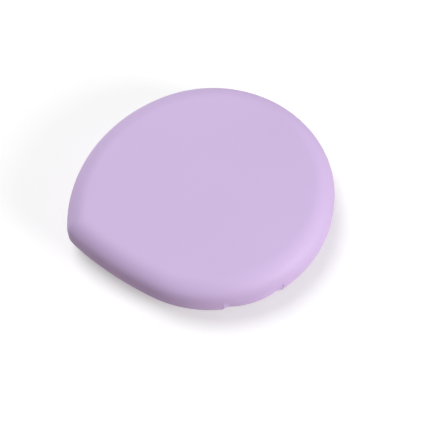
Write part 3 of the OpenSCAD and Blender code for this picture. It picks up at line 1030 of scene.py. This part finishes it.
def sealProfile():
    v = sealRing
    low, top = heights("rim_seal")
    half, foot, far = v["width"] / 2, v["foot"], v["inset"] + v["width"]
    roll = np.linspace(0, math.pi, 12)
    dome = np.stack([v["inset"] + half + half * np.cos(roll),
                     low + v["domeFrom"] + (top - low - v["domeFrom"]) * np.sin(roll)], -1)
    base = [(v["inset"], low + foot), (v["inset"] + foot, low),
            (far - foot, low), (far, low + foot)]
    return np.vstack([dome, base])


makePiece("rimSeal", ringPart(sealProfile(), sealRing["spacing"]), "base", "seal_silicone",
          "rim_seal")

clampRing = {
    "outer": 7.05 * mm,
    "inner": 9.8 * mm,
    "edge": 0.25 * mm,
    "innerSlope": (2, 1.6),  # the inner edge's width and height, in outer edges
    "foot": 0.06 * mm,
    "spacing": 0.35 * mm,
    "notchRadius": 3.5 * mm,
    "notchFloor": 0.3 * mm,
    "notchFade": 0.5 * mm,
}


def clampRelief(points):
    # A round finger notch in each long side, where the upper face sinks to a thin floor.
    v = clampRing
    low, top = heights("paper_frame")
    away = np.hypot(points[..., 0], abs(points[..., 1]) - (endRadius - v["inner"]))
    sink = 1 - smooth((away - v["notchRadius"] + v["notchFade"]) / v["notchFade"])
    share = (points[..., 2] - low) / (top - low)
    points[..., 2] -= sink * share * (top - low - v["notchFloor"])
    return points


def clampProfile():
    v = clampRing
    low, top = heights("paper_frame")
    grow, fall = quarterRound(5)
    e, foot = v["edge"], v["foot"]
    wide, deep = v["innerSlope"]
    land = np.linspace(v["outer"] + e, v["inner"] - e * wide, 6)[1:-1]
    return np.vstack([
        [(v["outer"] + foot, low), (v["outer"], low + foot)],
        np.stack([v["outer"] + e * grow, top - e * fall], -1),
        np.stack([land, top + 0 * land], -1),
        np.stack([v["inner"] - wide * e * fall, top - deep * e * grow], -1),
        [(v["inner"], low + foot), (v["inner"] - foot, low)]])


makePiece("paperFrame", ringPart(clampProfile(), clampRing["spacing"], clampRelief), "base",
          "white_plastic", "paper_frame")

footPad = {
    "inset": 10.6 * mm,
    "edge": 0.25 * mm,
    "spacing": 0.45 * mm,
    "rows": 0.25 * mm,
    "rowsFrom": 0.5 * mm,
    "inner": (0.2 * mm, 14),  # the hub's radius and the rows on to it, here and below
    "grooveAt": 13.5 * mm,
    "grooveWide": 1.2 * mm,
    "grooveDeep": 0.25 * mm,
    "dotPitch": 2.6 * mm,
    "dotRadius": 0.75 * mm,
    "dotDeep": 0.16 * mm,
    "dotFade": 0.4 * mm,
    "dotsFrom": 1.4 * mm,  # inward from the groove's middle
    "dotsFade": 0.5 * mm,
}


def padPart():
    # A groove near the edge, and a field of small round dimples in rows inside it.
    v = footPad
    top = heights("foot_pad")[1]
    inset, z, faced = plateRows(v, "foot_pad", [(inset, top) for inset in (
        hubInset, caseShape["midInset"], v["inset"])])
    points = evenColumns(v["spacing"]).surface(inset, z)
    groove = smooth(1 - abs(inset - v["grooveAt"]) / (v["grooveWide"] / 2))
    field = smooth((inset - v["grooveAt"] - v["dotsFrom"]) / v["dotsFade"])
    groove[:-faced] = field[:-faced] = 0
    x, y = points[..., 0], points[..., 1]
    p, lift = v["dotPitch"], math.sqrt(3) * v["dotPitch"]
    first = np.hypot(x - p * np.round(x / p), y - lift * np.round(y / lift))
    second = np.hypot(x - p * (np.floor(x / p) + 0.5), y - lift * (np.floor(y / lift) + 0.5))
    dot = smooth((v["dotRadius"] - np.minimum(first, second)) / v["dotFade"])
    points[..., 2] += v["grooveDeep"] * groove[:, None] + v["dotDeep"] * dot * field[:, None]
    return closedGrid(points)


makePiece("footPad", padPart(), "base", "pad_silicone", "foot_pad")

pinShape = {
    # Radius and depth of the rings of an end, which is slightly domed and chamfered, in mm
    "end": ((0.15, 0), (0.375, 0.01), (0.57, 0.03), (0.66, 0.05), (0.75, 0.21), (0.75, 0.3)),
    "columns": 40,
}


def pinPart():
    # A profile turned about the hinge's line.
    v = pinShape
    (low, _, _), (high, _, _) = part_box("hinge_pin")
    radius, depth = np.array(v["end"]).T * mm
    turn = np.arange(v["columns"]) * math.pi / (v["columns"] // 2)
    x = np.hstack([low + depth, high - depth[::-1]])[:, None] + 0 * turn
    radius = np.hstack([radius, radius[::-1]])[:, None]
    return closedGrid(np.stack([x, hingeY + radius * np.cos(turn),
                                hingeZ + radius * np.sin(turn)], -1))


makePiece("hingePin", pinPart(), "base", "steel", "hinge_pin")

mixing = {
    "inset": 7.0 * mm,
    "edge": 0.2 * mm,
    "deep": 0.88 * mm,
    "fillet": 0.85 * mm,  # from a well's floor to its brim
    "big": 11.0 * mm,
    "small": 4.5 * mm,
    "ringAt": 20.9 * mm,
    "ringTurns": range(-105, 106, 35),
    "tipWell": 5.5 * mm,
    "tipWellInset": 14.4 * mm,
    "filletPower": 2.2,
    "brim": 0.12 * mm,
    "brimAt": 0.35 * mm,  # outward from a well's radius
    "brimWidth": 0.28 * mm,
    "foot": 0.1 * mm,
    "spacing": 0.32 * mm,
    "rows": 0.25 * mm,
    "rowsFrom": 0.35 * mm,
    "inner": (0.15 * mm, 18),
}


def mixingWells():
    v = mixing
    _, tipX, tipY = tipCircle(np.array([v["tipWellInset"]]))
    wells = [(0.0, 0.0, v["big"]), (tipX[0], tipY[0], v["tipWell"])]
    for turn in np.radians(v["ringTurns"]):
        wells.append((v["ringAt"] * math.cos(turn), v["ringAt"] * math.sin(turn), v["small"]))
    return wells


def mixingPart():
    # The lower face sinks into round wells with filleted floors, each with a faint raised brim.
    v = mixing
    top = heights("mixing_tray")[1]
    inset, z, faced = plateRows(v, "mixing_tray", [
        (hubInset, top), (caseShape["midInset"], top), (v["inset"] + v["foot"], top),
        (v["inset"], top - v["foot"])])
    points = evenColumns(v["spacing"]).surface(inset, z)
    lift = np.zeros(points.shape[:2])
    for x, y, radius in mixingWells():
        away = np.hypot(points[..., 0] - x, points[..., 1] - y)
        inward = np.clip((radius - away) / v["fillet"], 0, 1)
        lift += v["deep"] * np.sqrt(np.clip(1 - (1 - inward) ** v["filletPower"], 0, 1))
        lift -= v["brim"] * np.exp(-((away - radius - v["brimAt"]) / v["brimWidth"]) ** 2)
    lift[:-faced] = 0
    points[..., 2] += lift
    return closedGrid(points)


makePiece("mixingTray", mixingPart(), "lid", "tray_plastic", "mixing_tray", sharp=60)

spongePad = {
    "inset": 9.25 * mm,
    "edge": 0.35 * mm,
    "spacing": 0.42 * mm,
    "inner": (0.2 * mm, 12),
    "poreSize": 0.9 * mm,
    "poreDepth": 0.22 * mm,
    "poreReach": 0.5,  # radius of a pore and width of its wall, in pore sizes
    "poreWall": 0.35,
    "jitter": 0.35,
    # Large uneven numbers that scatter the pores
    "scatter": ((12.9, 78.2, 37.7), (93.9, 67.3, 11.1), (45.2, 21.8, 59.6)),
    "scatterScale": 43758.5,
    "seed": 7,
}


def poreField(points):
    # How deep the nearest of a jittered grid of round pores lies at each point.
    v = spongePad
    size = v["poreSize"]
    cell = np.floor(points / size)
    nearest = np.full(points.shape[:-1], np.inf)
    for step in np.stack(np.meshgrid(*[(-1, 0, 1)] * 3), -1).reshape(-1, 3):
        corner = cell + step
        mix = np.sin(corner @ np.array(v["scatter"]) + v["seed"]) * v["scatterScale"]
        hole = (corner + 0.5 + v["jitter"] * (2 * (mix - np.floor(mix)) - 1)) * size
        nearest = np.minimum(nearest, np.linalg.norm(points - hole, axis=-1) / size)
    return smooth((v["poreReach"] - nearest) / v["poreWall"])


def spongePart():
    # A flat cushion with rounded edges, pitted above and below.
    v = spongePad
    low, top = heights("sponge")
    grow, fall = quarterRound(4)
    e = v["edge"]
    face = faceRows(v["inset"] + e + v["spacing"], v["spacing"], v["inner"])
    side = np.linspace(low + e, top - e, 6)[1:-1]
    inset = np.hstack([face[::-1], v["inset"] + e * fall, v["inset"] + 0 * side,
                            v["inset"] + e * grow, face])
    z = np.hstack([low + 0 * face, low + e * grow, side, top - e * fall, top + 0 * face])
    points = evenColumns(v["spacing"]).surface(inset, z)
    inward = np.zeros_like(points)
    inward[..., 2] = np.where(z > (low + top) / 2, -1, 1)[:, None]
    return closedGrid(points + inward * (v["poreDepth"] * poreField(points))[..., None])


sponge = makePiece("paletteSponge", spongePart(), "base", "sponge", "sponge")

paperSheet = {
    "inset": 7.25 * mm,
    "window": 9.8 * mm,  # inside this, nothing holds the damp paper down
    "cockle": 0.3 * mm,
    "cockleFrom": 0.3 * mm,  # inward from the window's edge
    "cockleFade": 2.5 * mm,
    "spacing": 0.6 * mm,
    "rows": 0.5 * mm,
    "inner": (0.2 * mm, 12),
    # Length in metres, direction and phase
    "waves": ((0.013, 0.4, 0.9), (0.019, 2.1, 2.6), (0.009, 4.4, 4.1), (0.028, 5.3, 1.3)),
}


def cockled(x, y):
    # Low crossing waves, as damp paper rises in them.
    total = 0
    for length, turn, phase in paperSheet["waves"]:
        along = x * math.cos(turn) + y * math.sin(turn)
        total = total + np.sin(2 * math.pi * along / length + phase)
    return 0.5 + 0.5 * total / len(paperSheet["waves"])


def paperPart():
    v = paperSheet
    low, top = heights("palette_paper")
    inset = faceRows(v["inset"], v["rows"], v["inner"])
    upper = evenColumns(v["spacing"]).surface(inset, np.full(len(inset), top))
    free = smooth((inset - v["window"] - v["cockleFrom"]) / v["cockleFade"])[:, None]
    rise = v["cockle"] * free * cockled(upper[..., 0], upper[..., 1])
    lower = upper.copy()
    upper[..., 2] += rise
    lower[..., 2] = low + rise
    return closedGrid(np.vstack([upper[::-1], lower]))


paperMesh = paperPart()
palettePaper = makePiece("palettePaper", paperMesh, "base", "paper", "palette_paper")
print("inner pieces made")


studio = {
    "world": 0.16,
    "floorColour": (0.80, 0.80, 0.80),
    "bounceColour": (0.46, 0.35, 0.38),  # of the floor, in the light it throws back
    "whiteness": (0.35, 1.0),  # of the floor as it is seen, near by and far off
    "farOff": (0.12, 0.9),
    "aim": (-0.005, 0, 0.008),
    "floorReach": 3.0,
    "floorRough": 0.9,
    "floorSpecular": 0.1,
    # Place, width and power of each lamp
    "lamps": {
        "overhead": ((-0.16, 0.24, 0.70), 0.50, 3.3),
        "keyRight": ((0.45, -0.50, 0.24), 0.40, 3.9),
        "fillBack": ((-0.10, 0.75, 0.20), 0.45, 0.8),
    },
}


def raysThatSee(tree):
    # 1 for the camera's rays and for reflected and transmitted ones
    path = addNode(tree, "ShaderNodeLightPath")
    seen = path.outputs["Is Camera Ray"]
    for other in ("Is Glossy Ray", "Is Transmission Ray"):
        either = addNode(tree, "ShaderNodeMath", {0: seen, 1: path.outputs[other]},
                         operation="MAXIMUM")
        seen = either.outputs[0]
    return seen


def makeStudio():
    v = studio
    world = bpy.data.worlds.new("studio")
    bpy.context.scene.world = world
    world.use_nodes = True
    tree = world.node_tree
    background = tree.nodes["Background"]
    background.inputs["Color"].default_value = (1, 1, 1, 1)
    seen = raysThatSee(tree)
    tree.links.new(spread(tree, seen, v["world"], 1, 0, 1), background.inputs["Strength"])
    for name, (place, width, power) in v["lamps"].items():
        lamp = bpy.data.lights.new(name, "AREA")
        lamp.shape, lamp.size, lamp.energy = "DISK", width, power
        holder = inScene(name, lamp)
        turn = (Vector(v["aim"]) - Vector(place)).to_track_quat("-Z", "Y")
        holder.matrix_world = Matrix.Translation(Vector(place)) @ turn.to_matrix().to_4x4()


def makeFloor():
    v = studio
    reach = v["floorReach"]
    points = [(-reach, -reach, 0), (reach, -reach, 0), (reach, reach, 0), (-reach, reach, 0)]
    mesh = bpy.data.meshes.new("floor")
    mesh.from_pydata(points, [], [(0, 1, 2, 3)])
    floor = inScene("floor", mesh)
    material, tree, shader, place = newMaterial("pale floor", {
        "Roughness": v["floorRough"], "Specular IOR Level": v["floorSpecular"],
        "Emission Color": (1, 1, 1, 1)})
    seen = raysThatSee(tree)
    tree.links.new(mixed(tree, seen, v["bounceColour"], v["floorColour"]),
                   shader.inputs["Base Color"])
    length = addNode(tree, "ShaderNodeVectorMath", {"Vector": place}, operation="LENGTH")
    away = length.outputs["Value"]
    white = spread(tree, away, *v["whiteness"], *v["farOff"])
    glow = addNode(tree, "ShaderNodeMath", {0: seen, 1: white}, operation="MULTIPLY")
    tree.links.new(glow.outputs[0], shader.inputs["Emission Strength"])
    mesh.materials.append(material)


makeStudio()
makeFloor()
bpy.context.scene.view_settings.view_transform = "Standard"
print("studio made")
